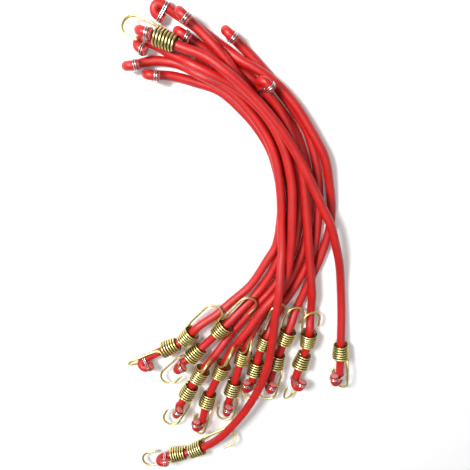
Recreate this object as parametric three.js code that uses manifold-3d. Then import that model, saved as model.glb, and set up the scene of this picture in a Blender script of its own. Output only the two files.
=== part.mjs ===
// Ten bungee cords in a loose C-shaped bunch on a flat floor.
// Each cord is a rubber core in a braided jacket, one solid here. Both its ends are
// folded back and held by a wound wire clip, and two steel hooks with coils sit on it.
// Units are millimetres, +Z is up and the floor is the plane z = 0.
import * as THREE from 'three';
import { mergeVertices } from 'three/addons/utils/BufferGeometryUtils.js';
import Module from 'manifold-3d';

const wasm = await Module();
wasm.setup();

// Cord
const cordDiameter = 8;
const cordSides = 8;
const stationPitch = 24; // longest straight step along a cord
const floorCutShare = 0.1; // of the diameter, pressed flat where a cord lies on the floor
const layerClearance = 0.4; // between one layer of cords and the next

// Folded end and its clip
const foldRadius = 4.5;
const clipToFold = 2.2;
const tailPastClip = 4;
const foldSteps = 3;
const clipWire = 1.2;
const clipWidth = 3.6;
const clipClearance = 0.25;
const clipRoundSteps = 4;

// Hook
const hookWire = 2.8;
const hookSides = 5;
const coilTurns = 4;
const coilPitch = 4;
const stepsPerTurn = 8;
const coilNarrowRadius = 6.25;
const coilWideRadius = 7.1;
const hookReach = 40; // from the last turn to the far side of the bend
const bendRadius = 8.9;
const bendSteps = 5;
const tipLength = 8;
const armRise = 3.2; // along the axis, while the wire turns out of the last coil turn
const armTurnShare = 0.3; // of one coil step, which the wire still turns while it rises
const armSpread = 5; // along the axis, while the arm moves out to the bend's radius

// Derived sizes
const cordRadius = cordDiameter / 2;
const restHeight = cordRadius - cordDiameter * floorCutShare;
const layerPitch = cordDiameter + layerClearance;
const coilLength = coilTurns * coilPitch;
const clipInnerRadius = (cordRadius + clipClearance) / Math.cos(Math.PI / clipRoundSteps / 2);
const up = new THREE.Vector3(0, 0, 1);

// Colours
const braidRed = new THREE.Color(0.74, 0.03, 0.035);
const hookYellow = new THREE.Color(0.72, 0.6, 0.28);
const clipSilver = new THREE.Color(0.72, 0.73, 0.74);
const cordMaterial = new THREE.MeshStandardMaterial({ color: braidRed, roughness: 0.7, metalness: 0 });
const hookMaterial = new THREE.MeshStandardMaterial({ color: hookYellow, roughness: 0.3, metalness: 1 });
const clipMaterial = new THREE.MeshStandardMaterial({ color: clipSilver, roughness: 0.3, metalness: 1 });

// Routes run from clip to clip, from the bunch's top end to its bottom end. A point
// holds x and y in millimetres and the layer that the cord lies in: 0 is on the floor.
// A roll is in degrees: 0 points to the left of the way out of the cord's end, 90 up.
// A hook is at the distance from the clip of its end to its own near end, and faces
// the clip (1) or away from it (-1). Its swing is how far it leans to its arm's side on
// the rope, in degrees, and its reach is given where it isn't the usual one.
const cords = [
  {
    name: 'cord_a',
    route: [
      [-67, 174.5, 1.75], [-55, 170.3, 1.95], [-43, 165, 2.3], [-24, 158, 2.6], [-6, 145.8, 2.9],
      [15.5, 126.5, 2.6], [34, 106, 2.4], [50, 83, 2.05], [62, 62, 2], [77, 32, 2], [85, 16, 1.95],
      [92, -6, 1.6], [97, -24, 1], [101, -48, 0.4], [104, -80, 0.4], [105, -110, 0.75],
      [106, -128, 0.7], [106.5, -148, 0.7],
    ],
    rolls: { start: 90, finish: 135 },
    hooks: [
      { place: 'start', distance: 5.5, facing: 1, roll: -155, reach: 30 },
      { place: 'finish', distance: 20, facing: 1, roll: 45, reach: 36 },
    ],
  },
  {
    name: 'cord_b',
    route: [
      [22.5, 133, 1.7], [36, 117, 1.25], [49, 93, 1], [57, 69, 1], [63, 33, 1], [68, -10, 1],
      [72, -45, 1.06], [73.5, -58, 0.93], [74, -73, 0.45], [73.7, -84, 0.5], [73.3, -94, 0.84],
      [72.5, -105, 0.78], [71, -119, 0.66], [66.5, -134.5, 0.7], [61.5, -153, 0.7],
    ],
    rolls: { start: 125, finish: 45 },
    hooks: [
      { place: 'finish', distance: 14.5, facing: 1, roll: -45 },
      { place: 'finish', distance: 40, facing: -1, roll: 18, reach: 25 },
    ],
  },
  {
    name: 'cord_c',
    route: [
      [-55, 195, 0.4], [-44, 187.5, 0.1], [-24, 175, 0], [-8, 163.5, 0.3], [4, 155, 0.8],
      [18, 147.5, 1], [35, 135.5, 1], [51, 118, 1], [66, 95.5, 1], [77.5, 75, 0.9], [84, 50, 0.4],
      [88, 25, 0], [87, 5, 0], [80, -23, 0], [70, -50, 0], [60, -76, 0.1], [55.5, -89, 0.55],
      [51, -102, 0.8], [47.5, -113, 0.72], [42.2, -131, 0.66], [35.5, -156, 0.7],
    ],
    rolls: { start: 0, finish: 75 },
    hooks: [
      { place: 'finish', distance: 17, facing: 1, roll: 5, swing: 3 },
      { place: 'finish', distance: 46, facing: -1, roll: 15, reach: 28 },
    ],
  },
  {
    name: 'cord_e',
    route: [
      [-82, 151, 0.4], [-68, 154, 0.1], [-50, 152.5, 0.15], [-41, 149.5, 0.5], [-32, 145, 1.1],
      [-22, 140.5, 1.42], [-12, 135.5, 1.25], [0, 127, 1.1], [20, 104, 1], [33, 80, 1], [40, 46, 1],
      [42, 10, 1], [43, -10, 1.3], [42, -28, 1.9], [41, -47, 2.4], [38, -75, 2.4], [35, -111, 2.2],
      [31, -135, 2.1], [24, -157, 2], [12, -183, 1.8], [-2, -205, 1.6], [-17, -225, 1.25],
      [-33, -240, 0.75], [-55, -249, 0.72], [-75, -253, 0.7],
    ],
    rolls: { start: 90, finish: 90 },
    hooks: [
      { place: 'finish', distance: 5.6, facing: 1, roll: 0, reach: 33 },
      { place: 'finish', distance: 26, facing: -1, roll: -32, swing: 3.5 },
    ],
  },
  {
    name: 'cord_f',
    route: [
      [-66, 143, 0.4], [-52, 142, 0.1], [-33, 137, 0], [-13, 130, 0], [7, 113, 0], [20, 98, 0],
      [31, 80, 0], [37, 62, 0], [41.8, 38, 0], [41.4, 11, 0], [38, -10, 0], [30.6, -24, 0],
      [15, -50, 0], [-5, -69, 0.1], [-18, -80, 0.4], [-37, -93, 0.8], [-49.5, -107.5, 0.67],
      [-67, -116.5, 0.7], [-90, -129, 0.65],
    ],
    rolls: { start: 90, finish: 25 },
    hooks: [
      { place: 'finish', distance: 20.5, facing: 1, roll: 130 },
      { place: 'finish', distance: 42, facing: -1, roll: 0, swing: 1.5 },
    ],
  },
  {
    name: 'cord_g',
    route: [
      [-24, 150.5, 0.35], [-12, 142.5, 0.05], [-2, 134, 0], [8, 124, 0], [18, 113, 0],
      [30.4, 98, 0], [40.5, 80, 0], [46, 62, 0], [50.5, 38, 0], [50, 11, 0], [47, -10, 0],
      [40.6, -24, 0], [33.5, -40, 0], [22.5, -57, 0], [10, -71, 0.22], [-2, -83, 0.7],
      [-13, -95, 0.8], [-25, -108, 0.65], [-38, -121, 0.7], [-53, -134, 0.7],
    ],
    rolls: { start: 118, finish: 90 },
    hooks: [
      { place: 'finish', distance: 9.5, facing: 1, roll: 180, swing: -3 },
      { place: 'finish', distance: 47, facing: -1, roll: 15 },
    ],
  },
  {
    name: 'cord_h',
    route: [
      [-38, 186, 1.3], [-27, 176, 1.25], [-11, 160, 1.4], [0, 146, 1.2], [9, 135, 0.8],
      [19, 124, 0.3], [29.2, 113, 0], [40.8, 98, 0], [50, 80, 0], [55, 62, 0], [59, 38, 0],
      [58.6, 11, 0], [56, -10, 0], [50.8, -24, 0], [44.4, -40, 0], [33.7, -57, 0], [21, -72, 0],
      [8, -88, 0], [-5, -105, 0.1], [-19, -124, 0.6], [-33, -143, 0.72], [-47, -167, 0.72],
      [-58, -187, 0.7],
    ],
    rolls: { start: 90, finish: 90 },
    hooks: [
      { place: 'finish', distance: 13, facing: 1, roll: 0 },
      { place: 'finish', distance: 36, facing: -1, roll: 75, outward: true, reach: 26 },
    ],
  },
  {
    name: 'cord_i',
    route: [
      [-70, 168.5, 0.4], [-62, 165, 0.3], [-54, 160.5, 0.8], [-44, 156, 1.45], [-34, 151.5, 2.15],
      [-20, 145, 2.35], [2, 133, 1.8], [25, 112, 1.6], [40, 87, 1.5], [49, 55, 1.4], [51, 20, 1.4],
      [51, -10, 1.35], [48, -36, 1.3], [40, -54, 1.3], [28, -69, 1.4], [15, -89, 1.4],
      [3, -107, 1.3], [-6, -123, 0.95], [-14, -143, 0.68], [-28, -177, 0.72], [-34.5, -206, 0.7],
    ],
    rolls: { start: 40, finish: 135 },
    hooks: [
      { place: 'finish', distance: 20, facing: 1, roll: 45, reach: 36 },
      { place: 'finish', distance: 58, facing: -1, roll: 80, outward: true, reach: 36 },
    ],
  },
  {
    name: 'cord_j',
    route: [
      [-3, 173, 0.4], [10, 161, 0.05], [29, 141, 0], [51.2, 113, 0], [61.6, 98, 0], [68.5, 80, 0],
      [73, 62, 0], [76, 38, 0], [76, 11, 0], [74, -12, 0], [68, -30, 0], [55, -57, 0],
      [45, -73, 0.05], [38, -88, 0.25], [32, -103, 0.8], [26, -119, 0.66], [21.5, -138, 0.7],
      [17.5, -157, 0.7],
    ],
    rolls: { start: 90, finish: 135 },
    hooks: [
      { place: 'finish', distance: 9, facing: 1, roll: 20, reach: 30 },
      { place: 'finish', distance: 41, facing: -1, roll: 30, swing: 4 },
    ],
  },
  {
    name: 'cord_k',
    route: [
      [-40.5, 173, 0.4], [-29, 166, 0.1], [-16, 157, 0], [-4, 151, 0], [6, 145.5, 0],
      [21, 134, 0], [40.2, 113, 0], [51.2, 98, 0], [59, 80, 0], [64, 62, 0], [67.5, 38, 0],
      [67.3, 11, 0], [65, -10, 0], [60, -26, 0], [53.3, -43, 0], [43.5, -59, 0], [32, -76, 0.1],
      [21, -93, 0.4], [13, -108, 0.75], [8, -125, 0.68], [2, -147, 0.7], [-2, -164, 0.72],
      [-7, -184, 0.7],
    ],
    rolls: { start: 94, finish: 90 },
    hooks: [
      { place: 'finish', distance: 12.5, facing: 1, roll: 0, reach: 34 },
      { place: 'finish', distance: 51, facing: -1, roll: 90, outward: true, reach: 26 },
    ],
  },
];

// A curve that passes through its stations and nowhere between them
class StationPath extends THREE.Curve {
  constructor(stations) {
    super();
    this.stations = stations;
  }

  getUtoTmapping(u) {
    return u;
  }

  getPoint(t, target = new THREE.Vector3()) {
    return target.copy(this.stations[Math.round(t * (this.stations.length - 1))]);
  }

  getTangent(t, target = new THREE.Vector3()) {
    const last = this.stations.length - 1;
    const index = Math.round(t * last);
    const here = this.stations[index];
    const before = this.stations[Math.max(index - 1, 0)];
    const after = this.stations[Math.min(index + 1, last)];
    const arriving = here.clone().sub(before).normalize();
    const leaving = after.clone().sub(here).normalize();
    return target.copy(arriving).add(leaving).normalize();
  }
}

function polygonPoints(radius, sides) {
  const points = [];
  for (let side = 0; side < sides; side += 1) {
    const angle = ((side + 0.5) / sides) * Math.PI * 2;
    points.push(new THREE.Vector2(radius * Math.cos(angle), radius * Math.sin(angle)));
  }
  return points;
}

function sweep(section, stations) {
  const path = new StationPath(stations);
  return new THREE.ExtrudeGeometry(section, { steps: stations.length - 1, extrudePath: path });
}

function toSolid(geometry) {
  const bare = geometry.clone();
  bare.deleteAttribute('normal');
  bare.deleteAttribute('uv');
  const merged = mergeVertices(bare);
  const mesh = new wasm.Mesh({
    numProp: 3,
    vertProperties: merged.attributes.position.array,
    triVerts: new Uint32Array(merged.index.array),
  });
  return new wasm.Manifold(mesh);
}

function toGeometry(solid) {
  const mesh = solid.getMesh();
  const geometry = new THREE.BufferGeometry();
  geometry.setAttribute('position', new THREE.BufferAttribute(mesh.vertProperties, 3));
  geometry.setIndex(new THREE.BufferAttribute(mesh.triVerts, 1));
  geometry.computeVertexNormals();
  return geometry;
}

// The unit vector square to a direction, turned by a roll from the direction's left
function sideOf(direction, roll) {
  const left = new THREE.Vector3().crossVectors(up, direction).normalize();
  const rise = new THREE.Vector3().crossVectors(direction, left);
  const angle = THREE.MathUtils.degToRad(roll);
  return left.multiplyScalar(Math.cos(angle)).addScaledVector(rise, Math.sin(angle));
}

function place(mesh, origin, xAxis, zAxis) {
  const yAxis = new THREE.Vector3().crossVectors(zAxis, xAxis);
  mesh.quaternion.setFromRotationMatrix(new THREE.Matrix4().makeBasis(xAxis, yAxis, zAxis));
  mesh.position.copy(origin);
}

// The free run of a cord as a smooth line, read by the distance from either clip
class Run {
  constructor(route) {
    const points = route.map(
      ([x, y, layer]) => new THREE.Vector3(x, y, restHeight + layer * layerPitch),
    );
    this.curve = new THREE.CatmullRomCurve3(points, false, 'centripetal');
    this.curve.arcLengthDivisions = 800;
    this.length = this.curve.getLength();
  }

  share(placeName, distance) {
    const along = distance / this.length;
    return placeName === 'start' ? along : 1 - along;
  }

  at(share) {
    return this.curve.getPointAt(share);
  }
}

// Where a hook's coil lies on its cord: the near end is the one nearer to the clip
function coilShares(run, hook) {
  const near = run.share(hook.place, hook.distance);
  const far = run.share(hook.place, hook.distance + coilLength);
  return { near, far };
}

function runStations(run, hooks) {
  const fixed = [0, 1];
  for (const hook of hooks) {
    const { near, far } = coilShares(run, hook);
    fixed.push(near, far);
  }
  fixed.sort((a, b) => a - b);
  const stations = [run.at(0)];
  for (let index = 1; index < fixed.length; index += 1) {
    const from = fixed[index - 1];
    const to = fixed[index];
    const steps = Math.max(1, Math.round(((to - from) * run.length) / stationPitch));
    for (let step = 1; step <= steps; step += 1) {
      stations.push(run.at(from + ((to - from) * step) / steps));
    }
  }
  return stations;
}

// A cord's end: on past the clip, round the fold and back to the cut end
function foldStations(clipPoint, outward, roll) {
  const side = sideOf(outward, roll);
  const foldStart = clipPoint.clone().addScaledVector(outward, clipToFold);
  const centre = foldStart.clone().addScaledVector(side, foldRadius);
  const stations = [];
  for (let step = 0; step <= foldSteps; step += 1) {
    const angle = (step / foldSteps) * Math.PI;
    const point = centre.clone().addScaledVector(side, -foldRadius * Math.cos(angle));
    stations.push(point.addScaledVector(outward, foldRadius * Math.sin(angle)));
  }
  const cutEnd = clipPoint.clone().addScaledVector(side, foldRadius * 2);
  stations.push(cutEnd.addScaledVector(outward, -tailPastClip));
  return stations;
}

function outwardAt(stations, placeName) {
  const last = stations.length - 1;
  const [end, inner] = placeName === 'start' ? [0, 1] : [last, last - 1];
  return stations[end].clone().sub(stations[inner]).normalize();
}

// Everything below the floor is cut off, so that the cord lies flat on it
function cutAtFloor(geometry) {
  const solid = toSolid(geometry);
  const box = solid.boundingBox();
  const depth = Math.max(-box.min[2], 0) + cordDiameter;
  const width = box.max[0] - box.min[0] + cordDiameter;
  const length = box.max[1] - box.min[1] + cordDiameter;
  const slab = new THREE.BoxGeometry(width, length, depth);
  slab.translate((box.max[0] + box.min[0]) / 2, (box.max[1] + box.min[1]) / 2, -depth / 2);
  return toGeometry(solid.subtract(toSolid(slab)));
}

function clipMesh(name, clipPoint, outward, roll) {
  const bandSection = (radius) => {
    const shape = new THREE.Path();
    shape.absarc(foldRadius, 0, radius, -Math.PI / 2, Math.PI / 2);
    shape.absarc(-foldRadius, 0, radius, Math.PI / 2, (Math.PI * 3) / 2);
    return shape.getPoints(clipRoundSteps);
  };
  const section = new THREE.Shape(bandSection(clipInnerRadius + clipWire));
  section.holes.push(new THREE.Path(bandSection(clipInnerRadius)));
  const geometry = new THREE.ExtrudeGeometry(section, { depth: clipWidth, bevelEnabled: false });
  geometry.translate(0, 0, -clipWidth / 2);
  const mesh = new THREE.Mesh(geometry, clipMaterial);
  mesh.name = name;
  const side = sideOf(outward, roll);
  place(mesh, clipPoint.clone().addScaledVector(side, foldRadius), side, outward);
  return mesh;
}

// The hook's wire in its own frame: the coil's axis is +Z, from its narrow end at zero
// to its wide end, and the arm goes on from there on the +X side
function hookStations(outward, reach) {
  const stations = [];
  const steps = coilTurns * stepsPerTurn;
  const coilPoint = (step, rise) => {
    const share = Math.min(step / steps, 1);
    const radius = THREE.MathUtils.lerp(coilNarrowRadius, coilWideRadius, share);
    const angle = ((step - steps) / stepsPerTurn) * Math.PI * 2;
    return new THREE.Vector3(radius * Math.cos(angle), radius * Math.sin(angle), share * coilLength + rise);
  };
  for (let step = 0; step <= steps; step += 1) stations.push(coilPoint(step, 0));
  stations.push(coilPoint(steps + armTurnShare, armRise));
  stations.push(new THREE.Vector3(bendRadius, 0, coilLength + armRise + armSpread));
  const bendBase = coilLength + reach - bendRadius - hookWire / 2;
  const turn = outward ? -1 : 1;
  const centreX = outward ? bendRadius + bendRadius : 0;
  for (let step = 0; step <= bendSteps; step += 1) {
    const angle = (step / bendSteps) * Math.PI;
    const x = centreX + turn * bendRadius * Math.cos(angle);
    stations.push(new THREE.Vector3(x, 0, bendBase + bendRadius * Math.sin(angle)));
  }
  stations.push(new THREE.Vector3(centreX - turn * bendRadius, 0, bendBase - tipLength));
  return stations;
}

// The least distance between the surfaces of turns of the coil
function leastCoilGap(stations) {
  let least = Infinity;
  for (let a = 0; a < stations.length; a += 1) {
    for (let b = a + stepsPerTurn / 2; b < stations.length; b += 1) {
      least = Math.min(least, stations[a].distanceTo(stations[b]) - hookWire);
    }
  }
  return least;
}

function hookMesh(name, run, hook) {
  const { near, far } = coilShares(run, hook);
  const [narrow, wide] = hook.facing === 1 ? [far, near] : [near, far];
  const narrowPoint = run.at(narrow);
  const widePoint = run.at(wide);
  const ropeAxis = widePoint.clone().sub(narrowPoint).normalize();
  const ropeSide = sideOf(ropeAxis, hook.roll);
  const swing = THREE.MathUtils.degToRad(hook.swing ?? 0);
  const axis = ropeAxis.clone().multiplyScalar(Math.cos(swing)).addScaledVector(ropeSide, Math.sin(swing));
  const side = ropeSide.multiplyScalar(Math.cos(swing)).addScaledVector(ropeAxis, -Math.sin(swing));
  const start = narrowPoint.lerp(widePoint, 1 / 2).addScaledVector(axis, -coilLength / 2);
  const section = new THREE.Shape(polygonPoints(hookWire / 2, hookSides));
  const stations = hookStations(hook.outward, hook.reach ?? hookReach);
  const mesh = new THREE.Mesh(sweep(section, stations), hookMaterial);
  mesh.name = name;
  place(mesh, start, side, axis);
  return mesh;
}

function buildCord(cord) {
  const group = new THREE.Group();
  const run = new Run(cord.route);
  const free = runStations(run, cord.hooks);
  const startWay = outwardAt(free, 'start');
  const finishWay = outwardAt(free, 'finish');
  const startFold = foldStations(free[0], startWay, cord.rolls.start).reverse();
  const finishFold = foldStations(free[free.length - 1], finishWay, cord.rolls.finish);
  const stations = [...startFold, ...free, ...finishFold];

  const section = new THREE.Shape(polygonPoints(cordRadius, cordSides));
  const rope = new THREE.Mesh(cutAtFloor(sweep(section, stations)), cordMaterial);
  rope.name = `${cord.name}_elastic_rope`;
  group.add(rope);
  group.add(clipMesh(`${cord.name}_clip_1`, free[0], startWay, cord.rolls.start));
  group.add(clipMesh(`${cord.name}_clip_2`, free[free.length - 1], finishWay, cord.rolls.finish));
  cord.hooks.forEach((hook, index) => {
    group.add(hookMesh(`${cord.name}_hook_${index + 1}`, run, hook));
  });
  return group;
}

const bunch = new THREE.Group();
for (const cord of cords) bunch.add(buildCord(cord));
console.log(`least gap between coil turns: ${leastCoilGap(hookStations(false, hookReach)).toFixed(2)} mm`);

// The origin is on the floor, at the middle of the bunch
const extent = new THREE.Box3().setFromObject(bunch, true);
const middle = extent.getCenter(new THREE.Vector3());
bunch.position.set(-middle.x, -middle.y, -extent.min.z);
console.log(`bunch moved by ${bunch.position.x.toFixed(3)}, ${bunch.position.y.toFixed(3)}, ${bunch.position.z.toFixed(3)} mm`);

export default bunch;
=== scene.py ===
# Ten red bungee cords with yellow-plated coil hooks, in a loose C-shaped bunch on a pale floor.
# Sizes are written in millimetres and turned into metres where a mesh is made.
import bisect
import math

import bpy
from mathutils import Matrix, Vector


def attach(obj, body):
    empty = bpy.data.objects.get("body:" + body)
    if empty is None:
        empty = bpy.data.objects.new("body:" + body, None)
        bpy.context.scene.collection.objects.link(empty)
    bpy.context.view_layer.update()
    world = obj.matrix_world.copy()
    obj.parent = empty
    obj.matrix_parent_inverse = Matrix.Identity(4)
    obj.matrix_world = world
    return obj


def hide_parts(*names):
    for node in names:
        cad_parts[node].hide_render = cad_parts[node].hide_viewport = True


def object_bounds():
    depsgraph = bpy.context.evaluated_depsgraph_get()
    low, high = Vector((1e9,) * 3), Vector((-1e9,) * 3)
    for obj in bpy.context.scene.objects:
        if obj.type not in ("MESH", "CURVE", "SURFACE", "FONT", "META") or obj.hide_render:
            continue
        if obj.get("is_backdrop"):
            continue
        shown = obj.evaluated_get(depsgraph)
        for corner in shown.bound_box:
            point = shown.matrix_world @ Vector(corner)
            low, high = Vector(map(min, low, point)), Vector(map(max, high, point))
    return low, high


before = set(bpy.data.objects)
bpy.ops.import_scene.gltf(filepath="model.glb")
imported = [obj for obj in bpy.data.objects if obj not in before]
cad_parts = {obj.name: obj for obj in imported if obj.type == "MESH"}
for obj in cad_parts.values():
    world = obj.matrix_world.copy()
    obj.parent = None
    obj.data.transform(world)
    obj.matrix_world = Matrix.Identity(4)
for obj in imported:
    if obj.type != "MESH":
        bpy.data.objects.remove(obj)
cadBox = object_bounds()
print("frame loaded")

mm = 0.001
bunchShift = Vector((-3.318, 33.003, 0))  # from the origin of the routes to the middle of the bunch
up = Vector((0, 0, 1))


def toFrame(point):
    return (point + bunchShift) * mm


# Camera: it looks down on the bunch, a little from its top end
view = {"lens": 38.6, "sensor": 36, "nearest": 0.01, "tilt": -20, "place": (0, 161.24, 443)}
cameraData = bpy.data.cameras.new("camera")
cameraData.lens = view["lens"]
cameraData.sensor_width = view["sensor"]
cameraData.clip_start = view["nearest"]
cameraObject = bpy.data.objects.new("camera", cameraData)
cameraObject.location = toFrame(Vector(view["place"]))
cameraObject.rotation_euler = (math.radians(view["tilt"]), 0, 0)
bpy.context.scene.collection.objects.link(cameraObject)
bpy.context.scene.camera = cameraObject

# The cords' routes from clip to clip: x and y, and the layer that the cord lies in there.
# A hook is place, distance from that end's clip, facing (1 to the clip), roll, swing to its
# arm's side, reach and whether its bend turns outwards. Rolls and swings are in degrees, and
# a roll of 0 is to the left of the way out, 90 up.
rope = {
    "diameter": 8,
    "floorCutShare": 0.1,
    "layerClearance": 0.4,
    "stationPitch": 24,
    "foldRadius": 4.5,
    "clipToFold": 2.2,
    "tailPastClip": 3,
    "pathStep": 1,
    "runSamples": 800,
    "foldSteps": 18,
    "kinkReach": 7,
    "easeRounds": 10,
}
cords = {
    "a": {
        "route": [
            (-67, 174.5, 1.75), (-55, 170.3, 1.95), (-43, 165, 2.3), (-24, 158, 2.6), (-6, 145.8, 2.9),
            (15.5, 126.5, 2.6), (34, 106, 2.4), (50, 83, 2.05), (62, 62, 2), (77, 32, 2), (85, 16, 1.95),
            (92, -6, 1.6), (97, -24, 1), (101, -48, 0.4), (104, -80, 0.4), (105, -110, 0.75),
            (106, -128, 0.7), (106.5, -148, 0.7),
        ],
        "rolls": (90, 135),
        "hooks": [("start", 5.5, 1, -155, 0, 30, False), ("finish", 20, 1, 45, 0, 36, False)],
    },
    "b": {
        "route": [
            (22.5, 133, 1.7), (36, 117, 1.25), (49, 93, 1), (57, 69, 1), (63, 33, 1), (68, -10, 1),
            (72, -45, 1.06), (73.5, -58, 0.93), (74, -73, 0.45), (73.7, -84, 0.5), (73.3, -94, 0.84),
            (72.5, -105, 0.78), (71, -119, 0.66), (66.5, -134.5, 0.7), (61.5, -153, 0.7),
        ],
        "rolls": (125, 45),
        "hooks": [("finish", 14.5, 1, -45, 0, 40, False), ("finish", 40, -1, 18, 0, 25, False)],
    },
    "c": {
        "route": [
            (-55, 195, 0.4), (-44, 187.5, 0.1), (-24, 175, 0), (-8, 163.5, 0.3), (4, 155, 0.8),
            (18, 147.5, 1), (35, 135.5, 1), (51, 118, 1), (66, 95.5, 1), (77.5, 75, 0.9), (84, 50, 0.4),
            (88, 25, 0), (87, 5, 0), (80, -23, 0), (70, -50, 0), (60, -76, 0.1), (55.5, -89, 0.55),
            (51, -102, 0.8), (47.5, -113, 0.72), (42.2, -131, 0.66), (35.5, -156, 0.7),
        ],
        "rolls": (0, 75),
        "hooks": [("finish", 17, 1, 5, 3, 40, False), ("finish", 46, -1, 15, 0, 28, False)],
    },
    "e": {
        "route": [
            (-82, 151, 0.4), (-68, 154, 0.1), (-50, 152.5, 0.15), (-41, 149.5, 0.5), (-32, 145, 1.1),
            (-22, 140.5, 1.42), (-12, 135.5, 1.25), (0, 127, 1.1), (20, 104, 1), (33, 80, 1), (40, 46, 1),
            (42, 10, 1), (43, -10, 1.3), (42, -28, 1.9), (41, -47, 2.4), (38, -75, 2.4), (35, -111, 2.2),
            (31, -135, 2.1), (24, -157, 2), (12, -183, 1.8), (-2, -205, 1.6), (-17, -225, 1.25),
            (-33, -240, 0.75), (-55, -249, 0.72), (-75, -253, 0.7),
        ],
        "rolls": (90, 90),
        "hooks": [("finish", 5.6, 1, 0, 0, 33, False), ("finish", 26, -1, -32, 3.5, 40, False)],
    },
    "f": {
        "route": [
            (-66, 143, 0.4), (-52, 142, 0.1), (-33, 137, 0), (-13, 130, 0), (7, 113, 0), (20, 98, 0),
            (31, 80, 0), (37, 62, 0), (41.8, 38, 0), (41.4, 11, 0), (38, -10, 0), (30.6, -24, 0),
            (15, -50, 0), (-5, -69, 0.1), (-18, -80, 0.4), (-37, -93, 0.8), (-49.5, -107.5, 0.67),
            (-67, -116.5, 0.7), (-90, -129, 0.65),
        ],
        "rolls": (90, 25),
        "hooks": [("finish", 20.5, 1, 130, 0, 40, False), ("finish", 42, -1, 0, 1.5, 40, False)],
    },
    "g": {
        "route": [
            (-24, 150.5, 0.35), (-12, 142.5, 0.05), (-2, 134, 0), (8, 124, 0), (18, 113, 0),
            (30.4, 98, 0), (40.5, 80, 0), (46, 62, 0), (50.5, 38, 0), (50, 11, 0), (47, -10, 0),
            (40.6, -24, 0), (33.5, -40, 0), (22.5, -57, 0), (10, -71, 0.22), (-2, -83, 0.7),
            (-13, -95, 0.8), (-25, -108, 0.65), (-38, -121, 0.7), (-53, -134, 0.7),
        ],
        "rolls": (118, 90),
        "hooks": [("finish", 9.5, 1, 180, -3, 40, False), ("finish", 47, -1, 15, 0, 40, False)],
    },
    "h": {
        "route": [
            (-38, 186, 1.3), (-27, 176, 1.25), (-11, 160, 1.4), (0, 146, 1.2), (9, 135, 0.8),
            (19, 124, 0.3), (29.2, 113, 0), (40.8, 98, 0), (50, 80, 0), (55, 62, 0), (59, 38, 0),
            (58.6, 11, 0), (56, -10, 0), (50.8, -24, 0), (44.4, -40, 0), (33.7, -57, 0), (21, -72, 0),
            (8, -88, 0), (-5, -105, 0.1), (-19, -124, 0.6), (-33, -143, 0.72), (-47, -167, 0.72),
            (-58, -187, 0.7),
        ],
        "rolls": (90, 90),
        "hooks": [("finish", 13, 1, 0, 0, 40, False), ("finish", 36, -1, 75, 0, 26, True)],
    },
    "i": {
        "route": [
            (-70, 168.5, 0.4), (-62, 165, 0.3), (-54, 160.5, 0.8), (-44, 156, 1.45), (-34, 151.5, 2.15),
            (-20, 145, 2.35), (2, 133, 1.8), (25, 112, 1.6), (40, 87, 1.5), (49, 55, 1.4), (51, 20, 1.4),
            (51, -10, 1.35), (48, -36, 1.3), (40, -54, 1.3), (28, -69, 1.4), (15, -89, 1.4),
            (3, -107, 1.3), (-6, -123, 0.95), (-14, -143, 0.68), (-28, -177, 0.72), (-34.5, -206, 0.7),
        ],
        "rolls": (40, 135),
        "hooks": [("finish", 20, 1, 45, 0, 36, False), ("finish", 58, -1, 80, 0, 36, True)],
    },
    "j": {
        "route": [
            (-3, 173, 0.4), (10, 161, 0.05), (29, 141, 0), (51.2, 113, 0), (61.6, 98, 0), (68.5, 80, 0),
            (73, 62, 0), (76, 38, 0), (76, 11, 0), (74, -12, 0), (68, -30, 0), (55, -57, 0),
            (45, -73, 0.05), (38, -88, 0.25), (32, -103, 0.8), (26, -119, 0.66), (21.5, -138, 0.7),
            (17.5, -157, 0.7),
        ],
        "rolls": (90, 135),
        "hooks": [("finish", 9, 1, 20, 0, 30, False), ("finish", 41, -1, 30, 4, 40, False)],
    },
    "k": {
        "route": [
            (-40.5, 173, 0.4), (-29, 166, 0.1), (-16, 157, 0), (-4, 151, 0), (6, 145.5, 0),
            (21, 134, 0), (40.2, 113, 0), (51.2, 98, 0), (59, 80, 0), (64, 62, 0), (67.5, 38, 0),
            (67.3, 11, 0), (65, -10, 0), (60, -26, 0), (53.3, -43, 0), (43.5, -59, 0), (32, -76, 0.1),
            (21, -93, 0.4), (13, -108, 0.75), (8, -125, 0.68), (2, -147, 0.7), (-2, -164, 0.72),
            (-7, -184, 0.7),
        ],
        "rolls": (94, 90),
        "hooks": [("finish", 12.5, 1, 0, 0, 34, False), ("finish", 51, -1, 90, 0, 26, True)],
    },
}


def curvePoint(points, t):
    # A centripetal curve through the route's points, as in the CAD source
    place = t * (len(points) - 1)
    index = min(int(place), len(points) - 2)
    weight = place - index
    here = points[index]
    there = points[index + 1]
    before = points[index - 1] if index > 0 else here * 2 - there
    after = points[index + 2] if index + 2 < len(points) else there * 2 - here
    gapBefore = (here - before).length ** 0.5
    gap = (there - here).length ** 0.5
    gapAfter = (after - there).length ** 0.5
    rise = there - here
    leaving = (here - before) / gapBefore - (there - before) / (gapBefore + gap) + rise / gap
    arriving = rise / gap - (after - here) / (gap + gapAfter) + (after - there) / gapAfter
    leaving *= gap
    arriving *= gap
    squared = (rise * 3 - leaving * 2 - arriving) * weight ** 2
    cubed = (leaving + arriving - rise * 2) * weight ** 3
    return here + leaving * weight + squared + cubed


def sideOf(direction, roll):
    left = up.cross(direction).normalized()
    rise = direction.cross(left)
    angle = math.radians(roll)
    return left * math.cos(angle) + rise * math.sin(angle)


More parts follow.
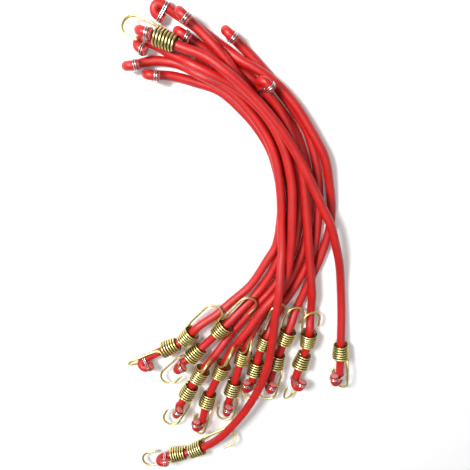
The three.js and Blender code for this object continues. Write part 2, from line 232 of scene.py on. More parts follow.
class FreeRun:
    # One cord's run between its clips, read by the distance from its start
    def __init__(self, route):
        radius = rope["diameter"] / 2
        rest = radius - rope["diameter"] * rope["floorCutShare"]
        layerPitch = rope["diameter"] + rope["layerClearance"]
        self.points = [Vector((x, y, rest + layer * layerPitch)) for x, y, layer in route]
        count = rope["runSamples"]
        samples = [curvePoint(self.points, step / count) for step in range(count + 1)]
        self.reach = [0]
        for last, following in zip(samples, samples[1:]):
            self.reach.append(self.reach[-1] + (following - last).length)
        self.length = self.reach[-1]

    def at(self, distance):
        count = rope["runSamples"]
        index = max(1, min(bisect.bisect_left(self.reach, distance), count))
        gap = self.reach[index] - self.reach[index - 1]
        share = (distance - self.reach[index - 1]) / gap
        return curvePoint(self.points, (index - 1 + share) / count)

    def fromEnd(self, place, distance):
        return self.at(distance if place == "start" else self.length - distance)


def endWay(run, hooks, place):
    # The straight way out of a cord's end, from the last station before it
    distances = [run.length]
    for hook in hooks:
        for edge in (hook[1], hook[1] + coil["length"]):
            distances.append(edge if hook[0] == place else run.length - edge)
    nearest = min(distances)
    steps = max(1, round(nearest / rope["stationPitch"]))
    return (run.fromEnd(place, 0) - run.fromEnd(place, nearest / steps)).normalized()


def foldPoints(clipPoint, outward, roll):
    # On past the clip, round the fold and back to the cut end
    side = sideOf(outward, roll)
    radius = rope["foldRadius"]
    centre = clipPoint + outward * rope["clipToFold"] + side * radius
    points = [clipPoint + outward * rope["clipToFold"] / 2]
    for step in range(rope["foldSteps"] + 1):
        angle = math.pi * step / rope["foldSteps"]
        points.append(centre - side * radius * math.cos(angle) + outward * radius * math.sin(angle))
    cut = clipPoint + side * radius * 2 - outward * rope["tailPastClip"]
    bent = points[-1]
    tailSteps = int((cut - bent).length)
    for step in range(1, tailSteps + 1):
        points.append(bent + (cut - bent) * step / tailSteps)
    return points


def easeKinks(points, places):
    # The run and the fold meet at a slight angle, which the real rope takes up in a curve
    for place in places:
        for _ in range(rope["easeRounds"]):
            low = max(place - rope["kinkReach"], 1)
            high = min(place + rope["kinkReach"], len(points) - 2)
            eased = [(points[i - 1] + points[i] * 2 + points[i + 1]) / 4 for i in range(low, high + 1)]
            points[low : high + 1] = eased
    return points


# The hook's coil, which widens towards the arm, then the arm and the bend
coil = {
    "length": 16,
    "overhang": 0.4,
    "turns": 6.5,
    "pointsPerTurn": 40,
    "narrowRadius": 5.9,
    "wideRadius": 7.25,
    "widenRate": 1.25,
    "widenPower": 0.8,
    "wire": 2.3,
    "sides": 14,
    "leaveTurnShare": 0.09,
}
bend = {
    "leaveReach": 3,
    "armRise": 8.2,
    "armLean": (1.5, 0, 4.6),
    "leanShare": 0.75,
    "armSteps": 14,
    "cornerCut": 1.3,
    "cornerShare": 0.6,
    "cornerSteps": 6,
    "straightSteps": 6,
    "cadWire": 2.8,
    "radius": 8.9,
    "steps": 24,
    "tipLength": 8,
    "tipSteps": 4,
}

ropePaths = {}
ropeEnds = {}
runs = {}
for letter, cord in cords.items():
    run = FreeRun(cord["route"])
    startWay = endWay(run, cord["hooks"], "start")
    finishWay = endWay(run, cord["hooks"], "finish")
    startFold = foldPoints(run.at(0), startWay, cord["rolls"][0])
    finishFold = foldPoints(run.at(run.length), finishWay, cord["rolls"][1])
    steps = int(run.length / rope["pathStep"])
    middle = [run.at(run.length * step / steps) for step in range(steps + 1)]
    joined = startFold[::-1] + middle + finishFold
    joins = (len(startFold), len(startFold) + steps)
    ropePaths[letter] = easeKinks(joined, joins)
    runs[letter] = run
    ropeEnds[letter] = [
        {"clip": run.at(0), "outward": startWay, "side": sideOf(startWay, cord["rolls"][0])},
        {"clip": run.at(run.length), "outward": finishWay, "side": sideOf(finishWay, cord["rolls"][1])},
    ]
    length = sum((after - before).length for before, after in zip(joined, joined[1:]))
    cord["length"] = round(length) * mm
print("routes laid:", ", ".join(f"{letter} {cord['length']:.3f}" for letter, cord in cords.items()))


# Small helpers for node trees
def addNode(tree, kind, inputs=None, **settings):
    node = tree.nodes.new(kind)
    for setting, value in settings.items():
        setattr(node, setting, value)
    for name, value in (inputs or {}).items():
        if isinstance(value, bpy.types.NodeSocket):
            tree.links.new(value, node.inputs[name])
        else:
            node.inputs[name].default_value = value
    return node


def calc(tree, operation, *values):
    node = tree.nodes.new("ShaderNodeMath")
    node.operation = operation
    for socket, value in zip(node.inputs, values):
        if isinstance(value, bpy.types.NodeSocket):
            tree.links.new(value, socket)
        else:
            socket.default_value = value
    return node.outputs[0]


# Height of a strand of the braid: its own rounded crown, and its lift over and under the others
strand = {"crownPower": 0.6, "ownShare": 0.6, "liftShare": 0.4, "middleHeight": 0.7}


def strandHeight(tree, own, other, sign):
    across = calc(tree, "SINE", calc(tree, "MULTIPLY", calc(tree, "FRACT", own), math.pi))
    rounded = calc(tree, "POWER", across, strand["crownPower"])
    parity = calc(tree, "COSINE", calc(tree, "MULTIPLY", calc(tree, "FLOOR", own), math.pi))
    wave = calc(tree, "SINE", calc(tree, "MULTIPLY", other, math.pi))
    lift = calc(tree, "MULTIPLY", calc(tree, "MULTIPLY", wave, parity), sign * strand["liftShare"])
    return calc(tree, "MULTIPLY", rounded, calc(tree, "ADD", lift, strand["ownShare"]))


def braidField(tree, around, along, strands, pitch):
    # around is in whole turns, along and pitch are in metres
    turned = calc(tree, "MULTIPLY", around, strands)
    advance = calc(tree, "DIVIDE", along, pitch)
    rightHand = calc(tree, "ADD", turned, advance)
    leftHand = calc(tree, "SUBTRACT", turned, advance)
    rightHeight = strandHeight(tree, rightHand, leftHand, 1)
    leftHeight = strandHeight(tree, leftHand, rightHand, -1)
    return {
        "rightHand": rightHand,
        "leftHand": leftHand,
        "rightOnTop": calc(tree, "GREATER_THAN", rightHeight, leftHeight),
        "height": calc(tree, "MAXIMUM", rightHeight, leftHeight),
    }


def startTree(name, sizes):
    tree = bpy.data.node_groups.new(name, "GeometryNodeTree")
    tree.interface.new_socket("Geometry", in_out="INPUT", socket_type="NodeSocketGeometry")
    for label, value in sizes.items():
        kind = "NodeSocketInt" if isinstance(value, int) else "NodeSocketFloat"
        socket = tree.interface.new_socket(label, in_out="INPUT", socket_type=kind)
        socket.default_value = value
    tree.interface.new_socket("Material", in_out="INPUT", socket_type="NodeSocketMaterial")
    tree.interface.new_socket("Geometry", in_out="OUTPUT", socket_type="NodeSocketGeometry")
    return tree, tree.nodes.new("NodeGroupInput").outputs


def endTree(tree, inputs, geometry):
    smooth = addNode(tree, "GeometryNodeSetShadeSmooth", {"Geometry": geometry})
    whole = addNode(tree, "GeometryNodeRealizeInstances", {"Geometry": smooth.outputs[0]})
    finished = addNode(
        tree, "GeometryNodeSetMaterial", {"Geometry": whole.outputs[0], "Material": inputs["Material"]}
    )
    tree.links.new(finished.outputs[0], tree.nodes.new("NodeGroupOutput").inputs[0])


def keepField(tree, geometry, name, value, kind="FLOAT"):
    node = addNode(
        tree,
        "GeometryNodeStoreNamedAttribute",
        {"Geometry": geometry, "Name": name},
        data_type=kind,
        domain="POINT",
    )
    tree.links.new(value, node.inputs["Value"])
    return node.outputs[0]


def readField(tree, name, kind="FLOAT"):
    return addNode(tree, "GeometryNodeInputNamedAttribute", {"Name": name}, data_type=kind).outputs[0]


# The braided rope: a round section swept along the path, with its strands raised. It flares at
# the cut ends, and the flare fades out along the rope.
braid = {"Diameter": 0.008, "Step": 0.00055, "Sides": 42, "Strands": 14, "Pitch": 0.00214, "Relief": 0.00011}
flare = {"share": 0.06, "fadePerMetre": 700}


def braidedRopeTree():
    tree, inputs = startTree("braidedRope", {**braid, "End flare": flare["share"]})
    line = addNode(tree, "GeometryNodeMeshToCurve", {"Mesh": inputs["Geometry"]})
    even = addNode(
        tree,
        "GeometryNodeResampleCurve",
        {"Curve": line.outputs[0], "Length": inputs["Step"]},
        mode="LENGTH",
    )
    reach = addNode(tree, "GeometryNodeSplineParameter").outputs["Length"]
    along = keepField(tree, even.outputs[0], "along", reach)
    total = addNode(tree, "GeometryNodeSplineLength").outputs["Length"]
    nearEnd = calc(tree, "MINIMUM", reach, calc(tree, "SUBTRACT", total, reach))
    fading = calc(tree, "EXPONENT", calc(tree, "MULTIPLY", nearEnd, -flare["fadePerMetre"]))
    swell = calc(tree, "ADD", calc(tree, "MULTIPLY", fading, inputs["End flare"]), 1)
    radius = calc(tree, "DIVIDE", inputs["Diameter"], 2)
    section = addNode(
        tree, "GeometryNodeCurvePrimitiveCircle", {"Resolution": inputs["Sides"], "Radius": radius}
    )
    turn = addNode(tree, "GeometryNodeSplineParameter").outputs["Factor"]
    ring = keepField(tree, section.outputs["Curve"], "around", turn)
    tube = addNode(
        tree,
        "GeometryNodeCurveToMesh",
        {"Curve": along, "Profile Curve": ring, "Scale": swell, "Fill Caps": True},
    ).outputs[0]
    around = readField(tree, "around")
    field = braidField(tree, around, readField(tree, "along"), inputs["Strands"], inputs["Pitch"])
    angle = calc(tree, "MULTIPLY", around, math.tau)
    wrap = addNode(
        tree,
        "ShaderNodeCombineXYZ",
        {"X": calc(tree, "COSINE", angle), "Y": calc(tree, "SINE", angle)},
    )
    tube = keepField(tree, tube, "wrap", wrap.outputs[0], "FLOAT_VECTOR")
    height = calc(tree, "SUBTRACT", field["height"], strand["middleHeight"])
    rise = calc(tree, "MULTIPLY", height, inputs["Relief"])
    push = addNode(
        tree,
        "ShaderNodeVectorMath",
        {0: addNode(tree, "GeometryNodeInputNormal").outputs[0], "Scale": rise},
        operation="SCALE",
    )
    woven = addNode(tree, "GeometryNodeSetPosition", {"Geometry": tube, "Offset": push.outputs[0]})
    # The rope is pressed flat where it lies on the floor
    place = addNode(
        tree, "ShaderNodeSeparateXYZ", {0: addNode(tree, "GeometryNodeInputPosition").outputs[0]}
    ).outputs
    pressed = addNode(
        tree,
        "ShaderNodeCombineXYZ",
        {"X": place["X"], "Y": place["Y"], "Z": calc(tree, "MAXIMUM", place["Z"], 0)},
    )
    flat = addNode(
        tree, "GeometryNodeSetPosition", {"Geometry": woven.outputs[0], "Position": pressed.outputs[0]}
    )
    endTree(tree, inputs, flat.outputs[0])
    return tree


# Round wire with rounded ends, for the hooks and the clips. Its very tip stays a little blunt.
bluntShare = 0.002


def roundWireTree():
    tree, inputs = startTree("roundWire", {"Diameter": 0.0025, "Sides": 14})
    line = addNode(tree, "GeometryNodeMeshToCurve", {"Mesh": inputs["Geometry"]})
    reach = addNode(tree, "GeometryNodeSplineParameter").outputs["Length"]
    along = keepField(tree, line.outputs[0], "along", reach)
    place = addNode(tree, "GeometryNodeInputPosition").outputs[0]
    centred = keepField(tree, along, "middle", place, "FLOAT_VECTOR")
    total = addNode(tree, "GeometryNodeSplineLength").outputs["Length"]
    radius = calc(tree, "DIVIDE", inputs["Diameter"], 2)
    nearEnd = calc(tree, "MINIMUM", reach, calc(tree, "SUBTRACT", total, reach))
    short = calc(tree, "SUBTRACT", 1, calc(tree, "MINIMUM", calc(tree, "DIVIDE", nearEnd, radius), 1))
    squared = calc(tree, "MULTIPLY", short, short)
    rounding = calc(tree, "SQRT", calc(tree, "SUBTRACT", 1 + bluntShare, squared))
    section = addNode(
        tree, "GeometryNodeCurvePrimitiveCircle", {"Resolution": inputs["Sides"], "Radius": radius}
    )
    wire = addNode(
        tree,
        "GeometryNodeCurveToMesh",
        {"Curve": centred, "Profile Curve": section.outputs["Curve"], "Scale": rounding, "Fill Caps": True},
    ).outputs[0]
    # How far each spot faces along Z, which in a coil is towards the next turn
    middle = readField(tree, "middle", "FLOAT_VECTOR")
    offset = addNode(tree, "ShaderNodeVectorMath", {0: place, 1: middle}, operation="SUBTRACT").outputs[0]
    height = addNode(tree, "ShaderNodeSeparateXYZ", {0: offset}).outputs["Z"]
    facing = calc(tree, "DIVIDE", calc(tree, "ABSOLUTE", height), radius)
    finished = keepField(tree, wire, "sideways", facing)
    cleared = addNode(tree, "GeometryNodeRemoveAttribute", {"Geometry": finished, "Name": "middle"})
    endTree(tree, inputs, cleared.outputs[0])
    return tree


# The torn threads of the jacket around a cut end
fray = {"Threads": 46, "Ring radius": 0.00375, "Thread": 0.00018, "Shortest": 0.0004, "Longest": 0.0013}
threadLean = 0.45
threadSides = 4


def frayedEndTree():
    tree, inputs = startTree("frayedEnd", {**fray, "Seed": 3})
    ring = addNode(
        tree,
        "GeometryNodeCurvePrimitiveCircle",
        {"Resolution": inputs["Threads"], "Radius": inputs["Ring radius"]},
    )

    def spread(low, high, seed):
        node = addNode(tree, "FunctionNodeRandomValue", data_type="FLOAT")
        for socket, value in ((2, low), (3, high)):
            if isinstance(value, bpy.types.NodeSocket):
                tree.links.new(value, node.inputs[socket])
            else:
                node.inputs[socket].default_value = value
        tree.links.new(calc(tree, "ADD", inputs["Seed"], seed), node.inputs["Seed"])
        return node.outputs[1]

    size = spread(inputs["Shortest"], inputs["Longest"], 1)
    lean = addNode(
        tree,
        "ShaderNodeCombineXYZ",
        {"X": spread(-threadLean, threadLean, 2), "Y": spread(-threadLean, threadLean, 3)},
    )
    stretch = addNode(tree, "ShaderNodeCombineXYZ", {"X": 1.0, "Y": 1.0, "Z": size})
    thread = addNode(tree, "GeometryNodeCurvePrimitiveLine")
    thread.inputs["End"].default_value = (0, 0, 1)
    section = addNode(tree, "GeometryNodeCurvePrimitiveCircle", {"Resolution": threadSides})
    tree.links.new(calc(tree, "DIVIDE", inputs["Thread"], 2), section.inputs["Radius"])
    strand = addNode(
        tree,
        "GeometryNodeCurveToMesh",
        {"Curve": thread.outputs[0], "Profile Curve": section.outputs["Curve"], "Fill Caps": True},
    )
    turned = addNode(tree, "FunctionNodeEulerToRotation", {"Euler": lean.outputs[0]})
    placed = addNode(
        tree,
        "GeometryNodeInstanceOnPoints",
        {
            "Points": ring.outputs["Curve"],
            "Instance": strand.outputs[0],
            "Rotation": turned.outputs[0],
            "Scale": stretch.outputs[0],
        },
    )
    endTree(tree, inputs, placed.outputs[0])
    return tree


def bake(name, points, tree, sizes, material):
    # Runs a tree on a path and keeps the result as a plain mesh
    path = bpy.data.meshes.new(name + "_path")
    path.from_pydata(points, [(i, i + 1) for i in range(len(points) - 1)], [])
    piece = bpy.data.objects.new(name, path)
    bpy.context.scene.collection.objects.link(piece)
    modifier = piece.modifiers.new("shape", "NODES")
    modifier.node_group = tree
    values = {**sizes, "Material": material}
    for item in tree.interface.items_tree:
        if item.in_out == "INPUT" and item.name in values:
            modifier[item.identifier] = values[item.name]
    graph = bpy.context.evaluated_depsgraph_get()
    solid = bpy.data.meshes.new_from_object(
        piece.evaluated_get(graph), preserve_all_data_layers=True, depsgraph=graph
    )
    piece.modifiers.clear()
    piece.data = solid
    solid.name = name
    bpy.data.meshes.remove(path)
    return piece


# Materials
def startMaterial(name, roughness, metallic=0.0, **sockets):
    material = bpy.data.materials.new(name)
    material.use_nodes = True
    tree = material.node_tree
    shader = tree.nodes["Principled BSDF"]
    shader.inputs["Roughness"].default_value = roughness
    shader.inputs["Metallic"].default_value = metallic
    for socket, value in sockets.items():
        shader.inputs[socket.replace("_", " ")].default_value = value
    return material, tree, shader


def attribute(tree, name):
    return addNode(tree, "ShaderNodeAttribute", attribute_name=name).outputs


def mixColours(tree, share, first, second):
    node = tree.nodes.new("ShaderNodeMix")
    node.data_type = "RGBA"
    for socket, value in ((0, share), (6, first), (7, second)):
        if isinstance(value, bpy.types.NodeSocket):
            tree.links.new(value, node.inputs[socket])
        else:
            node.inputs[socket].default_value = (*value, 1) if isinstance(value, tuple) else value
    return node.outputs[2]


def fitRange(tree, value, old, new=(0, 1)):
    node = addNode(tree, "ShaderNodeMapRange", {"Value": value})
    for name, number in zip(("From Min", "From Max", "To Min", "To Max"), (*old, *new)):
        node.inputs[name].default_value = number
    return node.outputs[0]


def cloudy(tree, scale, detail):
    node = addNode(tree, "ShaderNodeTexNoise", {"Scale": scale, "Detail": detail})
    tree.links.new(addNode(tree, "ShaderNodeTexCoord").outputs["Object"], node.inputs["Vector"])
    return node.outputs[0]


def spots(tree, spot):
    # Where a cloudy pattern is strong, as a share
    return fitRange(tree, cloudy(tree, spot["scale"], spot["detail"]), spot["range"], (0, spot["share"]))


def roughnessFrom(tree, shader, spot):
    rough = fitRange(tree, cloudy(tree, spot["scale"], spot["detail"]), spot["range"], spot["roughness"])
    tree.links.new(rough, shader.inputs["Roughness"])


def bumpFrom(tree, shader, height, distance, strength):
    node = addNode(tree, "ShaderNodeBump", {"Height": height, "Distance": distance, "Strength": strength})
    tree.links.new(node.outputs[0], shader.inputs["Normal"])


braidLook = {
    "red": (0.50, 0.003, 0.002),
    # painted shade for the valleys between the strands
    "valleyShadeRed": (0.17, 0.0008, 0.0006),
    "paleRed": (0.60, 0.008, 0.006),
    "fuzz": (0.78, 0.07, 0.065),
    "sheenTint": (1, 0.6, 0.6, 1),
    "fibresPerStrand": 5,
    "fibreHeightShare": 0.07,
    "crownRange": (0.35, 0.9),
    "strandToneShare": 0.35,
    "patches": {"scale": 60.0, "detail": 4.0, "range": (0.35, 0.75), "share": 0.5},
    "specks": {"scale": 1500.0, "detail": 2.0, "range": (0.62, 0.74), "share": 0.5},
    "gloss": {"scale": 300.0, "detail": 4.0, "range": (0.3, 0.7), "roughness": (0.34, 0.5)},
    "bump": (0.00014, 0.7),
}


def braidMaterial():
    material, tree, shader = startMaterial(
        "braidedJacket", 0.5, Sheen_Weight=0.02, Sheen_Roughness=0.4, Specular_IOR_Level=0.55
    )
    shader.inputs["Sheen Tint"].default_value = braidLook["sheenTint"]
    wrap = addNode(tree, "ShaderNodeSeparateXYZ", {0: attribute(tree, "wrap")["Vector"]}).outputs
    around = calc(tree, "DIVIDE", calc(tree, "ARCTAN2", wrap["Y"], wrap["X"]), math.tau)
    along = attribute(tree, "along")["Fac"]
    field = braidField(tree, around, along, float(braid["Strands"]), braid["Pitch"])
    # Fibres run along whichever strand is on top
    own = addNode(
        tree,
        "ShaderNodeMix",
        {0: field["rightOnTop"], 2: field["leftHand"], 3: field["rightHand"]},
        data_type="FLOAT",
    ).outputs[0]
    fibres = calc(tree, "SINE", calc(tree, "MULTIPLY", own, math.tau * braidLook["fibresPerStrand"]))
    strandTone = addNode(
        tree, "ShaderNodeTexWhiteNoise", {"W": calc(tree, "FLOOR", own)}, noise_dimensions="1D"
    ).outputs["Value"]
    crown = fitRange(tree, field["height"], braidLook["crownRange"])
    # Painted shade: the valleys between the strands are darker, the crowns keep the full red
    colour = mixColours(tree, crown, braidLook["valleyShadeRed"], braidLook["red"])
    strandShare = calc(tree, "MULTIPLY", strandTone, braidLook["strandToneShare"])
    colour = mixColours(tree, strandShare, colour, braidLook["paleRed"])
    colour = mixColours(tree, spots(tree, braidLook["patches"]), colour, braidLook["paleRed"])
    colour = mixColours(tree, spots(tree, braidLook["specks"]), colour, braidLook["fuzz"])
    tree.links.new(colour, shader.inputs["Base Color"])
    roughnessFrom(tree, shader, braidLook["gloss"])
    fibreHeight = calc(tree, "MULTIPLY", fibres, braidLook["fibreHeightShare"])
    bumpFrom(tree, shader, calc(tree, "ADD", field["height"], fibreHeight), *braidLook["bump"])
    return material


hookLook = {
    "bright": (0.90, 0.77, 0.33),
    "shaded": (0.77, 0.63, 0.22),
    "worn": (0.50, 0.41, 0.16),
    # painted shade between the coil's turns
    "gapShade": (0.045, 0.032, 0.012),
    "shading": {"scale": 140.0, "detail": 5.0, "range": (0.35, 0.7), "share": 1},
    "wear": {"scale": 900.0, "detail": 3.0, "range": (0.6, 0.75), "share": 0.6},
    "sidewaysRange": (0.5, 0.86),
    "gapShadeShare": 0.95,
    "gapShadeEnds": (0.27, 0.28),
    "gloss": {"scale": 420.0, "detail": 6.0, "range": (0.3, 0.75), "roughness": (0.26, 0.44)},
    "bump": (0.00001, 0.2),
}


def hookMaterial():
    material, tree, shader = startMaterial("yellowPlatedSteel", 0.27, 1.0)
    tint = mixColours(tree, spots(tree, hookLook["shading"]), hookLook["bright"], hookLook["shaded"])
    tint = mixColours(tree, spots(tree, hookLook["wear"]), tint, hookLook["worn"])
    # Painted shade sits between the turns of the coil, which ends at a length along the wire
    sideways = attribute(tree, "sideways")["Fac"]
    between = fitRange(tree, sideways, hookLook["sidewaysRange"], (0, hookLook["gapShadeShare"]))
    inCoil = fitRange(tree, attribute(tree, "along")["Fac"], hookLook["gapShadeEnds"], (1, 0))
    tint = mixColours(tree, calc(tree, "MULTIPLY", between, inCoil), tint, hookLook["gapShade"])
    tree.links.new(tint, shader.inputs["Base Color"])
    roughnessFrom(tree, shader, hookLook["gloss"])
    bumpFrom(tree, shader, cloudy(tree, 1600.0, 5.0), *hookLook["bump"])
    return material


clipLook = {
    "bright": (0.80, 0.81, 0.82),
    "shaded": (0.50, 0.51, 0.52),
    "shading": {"scale": 500.0, "detail": 5.0, "range": (0.35, 0.7), "share": 1},
    "gloss": {"scale": 800.0, "detail": 6.0, "range": (0.3, 0.75), "roughness": (0.18, 0.36)},
    "bump": (0.00002, 0.4),
}


def clipMaterial():
    material, tree, shader = startMaterial("brightClipWire", 0.25, 1.0)
    tint = mixColours(tree, spots(tree, clipLook["shading"]), clipLook["bright"], clipLook["shaded"])
    tree.links.new(tint, shader.inputs["Base Color"])
    roughnessFrom(tree, shader, clipLook["gloss"])
    bumpFrom(tree, shader, cloudy(tree, 1800.0, 3.0), *clipLook["bump"])
    return material


coreLook = {
    "seam": (0.50, 0.10, 0.09),
    "cell": (0.86, 0.42, 0.38),
    "stain": (0.74, 0.20, 0.19),
    "cellScale": 1300.0,
    "seamRange": (0.0, 0.25),
    "stains": {"scale": 400.0, "detail": 4.0, "range": (0.4, 0.7), "share": 0.5},
    "bump": (0.00018, 0.8),
}


def coreMaterial():
    material, tree, shader = startMaterial("rubberCore", 0.6, Specular_IOR_Level=0.4)
    cells = addNode(
        tree, "ShaderNodeTexVoronoi", {"Scale": coreLook["cellScale"]}, feature="DISTANCE_TO_EDGE"
    )
    tree.links.new(addNode(tree, "ShaderNodeTexCoord").outputs["Object"], cells.inputs["Vector"])
    edge = fitRange(tree, cells.outputs["Distance"], coreLook["seamRange"])
    tint = mixColours(tree, edge, coreLook["seam"], coreLook["cell"])
    tint = mixColours(tree, spots(tree, coreLook["stains"]), tint, coreLook["stain"])
    tree.links.new(tint, shader.inputs["Base Color"])
    bumpFrom(tree, shader, edge, *coreLook["bump"])
    return material


threadLook = {
    "red": (0.74, 0.05, 0.06),
    "pale": (0.92, 0.36, 0.36),
    "fading": {"scale": 900.0, "detail": 4.0, "range": (0.3, 0.7), "share": 1},
}


def frayMaterial():
    material, tree, shader = startMaterial("tornThreads", 0.65, Sheen_Weight=0.3)
    tint = mixColours(tree, spots(tree, threadLook["fading"]), threadLook["red"], threadLook["pale"])
    tree.links.new(tint, shader.inputs["Base Color"])
    return material


ropeTree = braidedRopeTree()
wireTree = roundWireTree()
frayTree = frayedEndTree()
jacket = braidMaterial()
platedSteel = hookMaterial()
brightWire = clipMaterial()
rubber = coreMaterial()
threads = frayMaterial()
print("trees and materials built")

# The ropes. They are attached to the bunch below, once their fittings are made.
ropes = {}
for letter in cords:
    points = [toFrame(point) for point in ropePaths[letter]]
    ropes[letter] = bake(f"cord_{letter}_braided_rope", points, ropeTree, {}, jacket)
print("ropes braided:", sum(len(piece.data.vertices) for piece in ropes.values()), "points")


# Clip: two turns of wire around both passes of the folded rope
clip = {
    "turns": 2,
    "wire": 1.0,
    "sides": 10,
    "pitch": 1.6,
    "roundRadius": 4.69,
    "halfGap": 4.5,
    "roundSteps": 14,
}
tipShares = (0.06, 0.2, 0.4, 0.65, 0.95)
tipReachShare = 0.9


def denseEnds(points, radius):
    # Extra points near both ends, so that the wire's ends come out round
    for _ in range(2):
        tip, following = points[0], points[1]
        way = (following - tip).normalized()
        reach = (following - tip).length
        extra = [radius * share for share in tipShares if radius * share < reach * tipReachShare]
        points = [tip] + [tip + way * distance for distance in extra] + points[1:]
        points = points[::-1]
    return points


def clipPoints(end):
    across = end["outward"].cross(end["side"])
    steps = clip["roundSteps"]
    ring = []
    for half in (0, 1):
        for step in range(steps + 1):
            angle = math.pi * (step / steps - 0.5 + half)
            x = clip["roundRadius"] * math.cos(angle) + clip["halfGap"] * (1 - 2 * half)
            ring.append((x, clip["roundRadius"] * math.sin(angle)))
    centre = end["clip"] + end["side"] * rope["foldRadius"]
    points = []
    count = len(ring) * clip["turns"]
    for index in range(count + 1):
        x, y = ring[index % len(ring)]
        z = (index / count - 0.5) * clip["pitch"] * clip["turns"]
        points.append(centre + end["side"] * x + across * y + end["outward"] * z)
    return denseEnds(points, clip["wire"] / 2)


for letter in cords:
    for number, end in enumerate(ropeEnds[letter], 1):
        points = [toFrame(point) for point in clipPoints(end)]
        sizes = {"Diameter": clip["wire"] * mm, "Sides": clip["sides"]}
        piece = bake(f"cord_{letter}_wound_clip_{number}", points, wireTree, sizes, brightWire)
        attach(piece, "bunch")
        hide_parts(f"cord_{letter}_clip_{number}")

# Cut ends: the rubber core stands a little proud of the jacket, with torn threads around it.
# A ring is height and share of the radius. A ripple is size, waves round the core and seed share.
core = {
    "radius": 3.45,
    "rings": ((-0.7, 1), (0.1, 1), (0.32, 0.94), (0.42, 0.7), (0.46, 0.36)),
    "sides": 28,
    "ripples": ((0.05, 5, 1), (0.04, 3, 2)),
    "rippleRise": 2,
    "seedStep": 2.1,
}
threadSeedStep = 10


def corePiece(name, matrix, seed):
    points = []
    for height, share in core["rings"]:
        for side in range(core["sides"]):
            angle = math.tau * side / core["sides"]
            ripple = 0
            for size, waves, seedShare in core["ripples"]:
                ripple += size * math.sin(angle * waves + seed * seedShare)
            reach = core["radius"] * share * (1 + ripple * share)
            top = height + ripple * share * core["rippleRise"]
            points.append((reach * math.cos(angle), reach * math.sin(angle), top))
    points.append((0, 0, core["rings"][-1][0]))
    points.append((0, 0, core["rings"][0][0]))
    sides = core["sides"]
    faces = []
    for ring in range(len(core["rings"]) - 1):
        for side in range(sides):
            following = (side + 1) % sides
            low = ring * sides
            high = low + sides
            faces.append((low + side, low + following, high + following, high + side))
    last = (len(core["rings"]) - 1) * sides
    for side in range(sides):
        following = (side + 1) % sides
        faces.append((last + side, last + following, len(points) - 2))
        faces.append((following, side, len(points) - 1))
    mesh = bpy.data.meshes.new(name)
    mesh.from_pydata([Vector(point) * mm for point in points], [], faces)
    mesh.shade_smooth()
    mesh.materials.append(rubber)
    mesh.transform(matrix)
    piece = bpy.data.objects.new(name, mesh)
    bpy.context.scene.collection.objects.link(piece)
    return piece


def frameAt(origin, xAxis, zAxis):
    yAxis = zAxis.cross(xAxis)
    turned = Matrix((xAxis, yAxis, zAxis)).transposed().to_4x4()
    return Matrix.Translation(toFrame(origin)) @ turned


for index, letter in enumerate(cords):
    path = ropePaths[letter]
    for number, (tip, inner) in enumerate(((path[0], path[1]), (path[-1], path[-2])), 1):
        way = (tip - inner).normalized()
        matrix = frameAt(tip, sideOf(way, 0), way)
        seed = index * core["seedStep"] + number
        piece = corePiece(f"cord_{letter}_rubber_core_{number}", matrix, seed)
        torn = bake(
            f"cord_{letter}_torn_threads_{number}",
            [Vector((0, 0, 0)), Vector((0, 0, mm))],
            frayTree,
            {"Seed": index * threadSeedStep + number},
            threads,
        )
        torn.data.transform(matrix)
        for part in (piece, torn):
            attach(part, "bunch")

for letter, cord in cords.items():
    path = [toFrame(point) for point in ropePaths[letter]]
    piece = ropes[letter]
    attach(piece, "bunch")
    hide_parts(f"cord_{letter}_elastic_rope")
print("cords declared:", len(cords))


# Hook: one wire in its own frame, with the coil along +Z and the arm on the +X side
def arcPoints(start, startWay, finish, finishWay, steps):
    points = []
    for step in range(1, steps + 1):
        t = step / steps
        near = start * (1 - t) ** 3 + (start + startWay) * 3 * t * (1 - t) ** 2
        far = (finish - finishWay) * 3 * t ** 2 * (1 - t) + finish * t ** 3
        points.append(near + far)
    return points


def hookPoints(reach, outward):
    count = int(coil["turns"] * coil["pointsPerTurn"])
    leave = coil["turns"] - coil["leaveTurnShare"]
    points = []
    for step in range(count + 1):
        turn = leave * step / count
        share = turn / coil["turns"]
        swell = min(1, share * coil["widenRate"]) ** coil["widenPower"]
        radius = coil["narrowRadius"] + (coil["wideRadius"] - coil["narrowRadius"]) * swell
        angle = (turn - coil["turns"]) * math.tau
        height = share * (coil["length"] + coil["overhang"] * 2) - coil["overhang"]
        points.append(Vector((radius * math.cos(angle), radius * math.sin(angle), height)))
    way = (points[-1] - points[-2]).normalized()
    bendRadius = bend["radius"]
    corner = Vector((bendRadius, 0, coil["length"] + bend["armRise"]))
    lean = Vector(bend["armLean"])
    beforeCorner = corner - lean.normalized() * bend["cornerCut"]
    armStart = corner + Vector((0, 0, bend["cornerCut"]))
    leaving = way * bend["leaveReach"]
    points += arcPoints(points[-1], leaving, beforeCorner, lean * bend["leanShare"], bend["armSteps"])
    leaving = (corner - beforeCorner) * bend["cornerShare"]
    arriving = (armStart - corner) * bend["cornerShare"]
    points += arcPoints(beforeCorner, leaving, armStart, arriving, bend["cornerSteps"])
    base = coil["length"] + reach - bendRadius - bend["cadWire"] / 2
    for step in range(1, bend["straightSteps"]):
        points.append(armStart.lerp(Vector((bendRadius, 0, base)), step / bend["straightSteps"]))
    sign = -1 if outward else 1
    centre = bendRadius * 2 if outward else 0
    for step in range(bend["steps"] + 1):
        angle = math.pi * step / bend["steps"]
        x = centre + sign * bendRadius * math.cos(angle)
        points.append(Vector((x, 0, base + bendRadius * math.sin(angle))))
    for step in range(1, bend["tipSteps"] + 1):
        z = base - bend["tipLength"] * step / bend["tipSteps"]
        points.append(Vector((centre - sign * bendRadius, 0, z)))
    return denseEnds(points, coil["wire"] / 2)


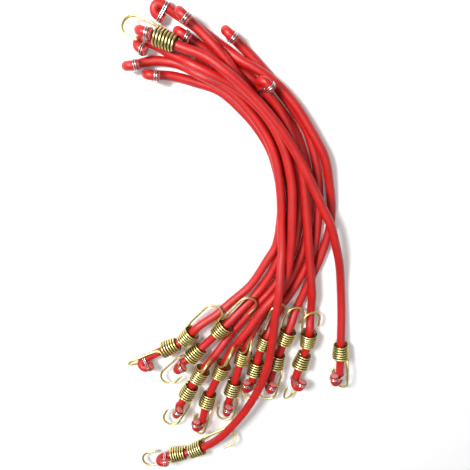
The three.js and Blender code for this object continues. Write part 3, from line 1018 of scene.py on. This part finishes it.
hookCount = 0
for letter, cord in cords.items():
    for number, (place, distance, facing, roll, swing, reach, outward) in enumerate(cord["hooks"], 1):
        near = runs[letter].fromEnd(place, distance)
        far = runs[letter].fromEnd(place, distance + coil["length"])
        narrow, wide = (far, near) if facing == 1 else (near, far)
        way = (wide - narrow).normalized()
        arm = sideOf(way, roll)
        lean = math.radians(swing)
        axis = way * math.cos(lean) + arm * math.sin(lean)
        side = arm * math.cos(lean) - way * math.sin(lean)
        matrix = frameAt((narrow + wide) / 2 - axis * coil["length"] / 2, side, axis)
        points = [point * mm for point in hookPoints(reach, outward)]
        sizes = {"Diameter": coil["wire"] * mm, "Sides": coil["sides"]}
        piece = bake(f"cord_{letter}_wire_hook_{number}", points, wireTree, sizes, platedSteel)
        piece.data.transform(matrix)
        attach(piece, f"{letter}_hook_{number}")
        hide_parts(f"cord_{letter}_hook_{number}")
        hookCount += 1
print("hooks bent:", hookCount)

# Floor and light
stage = {"size": 6, "drop": 0.00005, "tone": 0.9, "world": 0.22}
floorMesh = bpy.data.meshes.new("floor")
half = stage["size"] / 2
corners = [(x * half, y * half, -stage["drop"]) for x, y in ((-1, -1), (1, -1), (1, 1), (-1, 1))]
floorMesh.from_pydata(corners, [], [(0, 1, 2, 3)])
floorObject = bpy.data.objects.new("floor", floorMesh)
bpy.context.scene.collection.objects.link(floorObject)
floorMaterial, _, floorShader = startMaterial("paleFloor", 0.8)
floorShader.inputs["Base Color"].default_value = (stage["tone"], stage["tone"], stage["tone"], 1)
floorMesh.materials.append(floorMaterial)
floorObject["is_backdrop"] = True

lights = {
    "keyLight": {"place": (-0.5, 0.45, 0.8), "size": 0.3, "power": 15.5},
    "topLight": {"place": (0.1, 0.0, 1.2), "size": 0.6, "power": 4},
    "fillLight": {"place": (0.9, -0.5, 1.0), "size": 1.2, "power": 1.5},
}
for name, light in lights.items():
    lamp = bpy.data.lights.new(name, "AREA")
    lamp.size = light["size"]
    lamp.energy = light["power"]
    lampObject = bpy.data.objects.new(name, lamp)
    lampObject.location = light["place"]
    lampObject.rotation_euler = (-Vector(light["place"])).to_track_quat("-Z", "Y").to_euler()
    bpy.context.scene.collection.objects.link(lampObject)
world = bpy.data.worlds.new("softRoom")
world.use_nodes = True
world.node_tree.nodes["Background"].inputs["Color"].default_value = (1, 1, 1, 1)
world.node_tree.nodes["Background"].inputs["Strength"].default_value = stage["world"]
bpy.context.scene.world = world
bpy.context.scene.view_settings.view_transform = "Standard"
print("floor and lights set")

sizes = {"cad": [list(corner) for corner in cadBox], "dressed": [list(corner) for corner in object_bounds()]}
